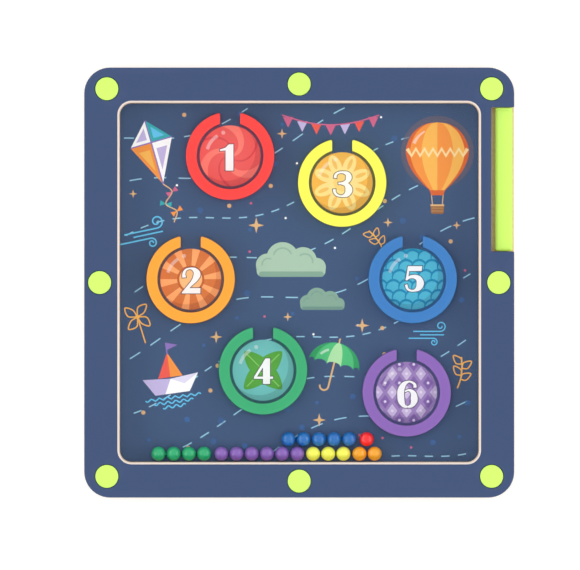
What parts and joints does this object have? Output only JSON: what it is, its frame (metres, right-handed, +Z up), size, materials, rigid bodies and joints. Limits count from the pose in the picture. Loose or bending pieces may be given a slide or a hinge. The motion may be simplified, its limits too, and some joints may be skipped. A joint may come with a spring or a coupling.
{
  "type": "magnetic maze board",
  "caption": "Flat square wooden tray with numbered ring walls and coloured steel balls under a clear cover, and a magnet pen in a side slot that pulls the balls along.",
  "frame": {"origin": "middle of the underside, on the surface that the board lies on", "axes": "+Z up out of the play face, +Y towards the rings' mouths and the top of the board, +X towards the pen slot"},
  "size_m": [0.3, 0.3, 0.0206],
  "materials": {
    "bare_wood": "sanded, unpainted",
    "navy_paint": "satin paint on wood",
    "printed_sheet": "printed sheet, satin",
    "clear_acrylic": "clear, polished",
    "red_paint": "satin paint on wood",
    "orange_paint": "satin paint on wood",
    "yellow_paint": "satin paint on wood",
    "green_paint": "satin paint on wood",
    "blue_paint": "satin paint on wood",
    "purple_paint": "satin paint on wood",
    "red_ball": "satin coat on steel",
    "orange_ball": "satin coat on steel",
    "yellow_ball": "satin coat on steel",
    "green_ball": "satin coat on steel",
    "blue_ball": "satin coat on steel",
    "purple_ball": "satin coat on steel",
    "lime_plastic": "satin moulded",
    "plated_magnet": "nickel plated",
    "screw_steel": "zinc plated"
  },
  "bodies": {
    "board": {"base_board": "bare_wood", "play_sheet": "printed_sheet", "spacer_frame": "bare_wood", "clear_cover": "clear_acrylic", "top_frame": "navy_paint", "ring_1_red": "red_paint", "ring_2_orange": "orange_paint", "ring_3_yellow": "yellow_paint", "ring_4_green": "green_paint", "ring_5_blue": "blue_paint", "ring_6_purple": "purple_paint", "cap_top_left": "lime_plastic", "cap_top": "lime_plastic", "cap_top_right": "lime_plastic", "cap_left": "lime_plastic", "cap_right": "lime_plastic", "cap_bottom_left": "lime_plastic", "cap_bottom": "lime_plastic", "cap_bottom_right": "lime_plastic", "screw_top_left": "screw_steel", "screw_top": "screw_steel", "screw_top_right": "screw_steel", "screw_left": "screw_steel", "screw_right": "screw_steel", "screw_bottom_left": "screw_steel", "screw_bottom": "screw_steel", "screw_bottom_right": "screw_steel"},
    "pen": {"pen_barrel": "lime_plastic", "pen_tip": "lime_plastic", "pen_magnet": "plated_magnet"},
    "green_1": {"ball_green_1": "green_ball"},
    "green_2": {"ball_green_2": "green_ball"},
    "green_3": {"ball_green_3": "green_ball"},
    "green_4": {"ball_green_4": "green_ball"},
    "purple_1": {"ball_purple_1": "purple_ball"},
    "purple_2": {"ball_purple_2": "purple_ball"},
    "purple_3": {"ball_purple_3": "purple_ball"},
    "purple_4": {"ball_purple_4": "purple_ball"},
    "purple_5": {"ball_purple_5": "purple_ball"},
    "purple_6": {"ball_purple_6": "purple_ball"},
    "yellow_1": {"ball_yellow_1": "yellow_ball"},
    "yellow_2": {"ball_yellow_2": "yellow_ball"},
    "yellow_3": {"ball_yellow_3": "yellow_ball"},
    "orange_1": {"ball_orange_1": "orange_ball"},
    "orange_2": {"ball_orange_2": "orange_ball"},
    "blue_1": {"ball_blue_1": "blue_ball"},
    "blue_2": {"ball_blue_2": "blue_ball"},
    "blue_3": {"ball_blue_3": "blue_ball"},
    "blue_4": {"ball_blue_4": "blue_ball"},
    "blue_5": {"ball_blue_5": "blue_ball"},
    "red_1": {"ball_red_1": "red_ball"}
  },
  "joints": [
    {"name": "pen_lift", "type": "slide", "parent": "board", "child": "pen", "axis": [0, 0, 1], "range_m": [0, 0.06]},
    {"name": "green_1_roll", "type": "slide", "parent": "board", "child": "green_1", "axis": [-0.1149, 0.9934, 0], "range_m": [0, 0.18]},
    {"name": "green_2_roll", "type": "slide", "parent": "board", "child": "green_2", "axis": [0, 1, 0], "range_m": [0, 0.087]},
    {"name": "green_3_roll", "type": "slide", "parent": "board", "child": "green_3", "axis": [0, 1, 0], "range_m": [0, 0.085]},
    {"name": "green_4_roll", "type": "slide", "parent": "board", "child": "green_4", "axis": [0, 1, 0], "range_m": [0, 0.086]},
    {"name": "purple_1_roll", "type": "slide", "parent": "board", "child": "purple_1", "axis": [-0.1305, 0.9914, 0], "range_m": [0, 0.074]},
    {"name": "purple_2_roll", "type": "slide", "parent": "board", "child": "purple_2", "axis": [0, 1, 0], "range_m": [0, 0.027]},
    {"name": "purple_3_roll", "type": "slide", "parent": "board", "child": "purple_3", "axis": [0, 1, 0], "range_m": [0, 0.023]},
    {"name": "purple_4_roll", "type": "slide", "parent": "board", "child": "purple_4", "axis": [0, 1, 0], "range_m": [0, 0.022]},
    {"name": "orange_2_roll", "type": "slide", "parent": "board", "child": "orange_2", "axis": [1, 0, 0], "range_m": [0, 0.062]},
    {"name": "orange_1_roll", "type": "slide", "parent": "board", "child": "orange_1", "axis": [1, 0, 0], "range_m": [0, 0.062]},
    {"name": "yellow_3_roll", "type": "slide", "parent": "board", "child": "yellow_3", "axis": [1, 0, 0], "range_m": [0, 0.062]},
    {"name": "yellow_2_roll", "type": "slide", "parent": "board", "child": "yellow_2", "axis": [1, 0, 0], "range_m": [0, 0.062]},
    {"name": "yellow_1_roll", "type": "slide", "parent": "board", "child": "yellow_1", "axis": [1, 0, 0], "range_m": [0, 0.062]},
    {"name": "purple_6_roll", "type": "slide", "parent": "board", "child": "purple_6", "axis": [1, 0, 0], "range_m": [0, 0.062]},
    {"name": "purple_5_roll", "type": "slide", "parent": "board", "child": "purple_5", "axis": [1, 0, 0], "range_m": [0, 0.062]},
    {"name": "blue_1_roll", "type": "slide", "parent": "board", "child": "blue_1", "axis": [0.2924, 0.9563, 0], "range_m": [0, 0.022]},
    {"name": "blue_2_roll", "type": "slide", "parent": "board", "child": "blue_2", "axis": [0.1736, 0.9848, 0], "range_m": [0, 0.1]},
    {"name": "blue_3_roll", "type": "slide", "parent": "board", "child": "blue_3", "axis": [0, 1, 0], "range_m": [0, 0.14]},
    {"name": "blue_4_roll", "type": "slide", "parent": "board", "child": "blue_4", "axis": [0, 1, 0], "range_m": [0, 0.14]},
    {"name": "blue_5_roll", "type": "slide", "parent": "board", "child": "blue_5", "axis": [0, 1, 0], "range_m": [0, 0.14]},
    {"name": "red_1_roll", "type": "slide", "parent": "board", "child": "red_1", "axis": [-0.309, 0.9511, 0], "range_m": [0, 0.19]}
  ],
  "couplings": [
    {"joint": "orange_1_roll", "follows": "orange_2_roll", "ratio": 1},
    {"joint": "yellow_3_roll", "follows": "orange_2_roll", "ratio": 1},
    {"joint": "yellow_2_roll", "follows": "orange_2_roll", "ratio": 1},
    {"joint": "yellow_1_roll", "follows": "orange_2_roll", "ratio": 1},
    {"joint": "purple_6_roll", "follows": "orange_2_roll", "ratio": 1},
    {"joint": "purple_5_roll", "follows": "orange_2_roll", "ratio": 1}
  ]
}
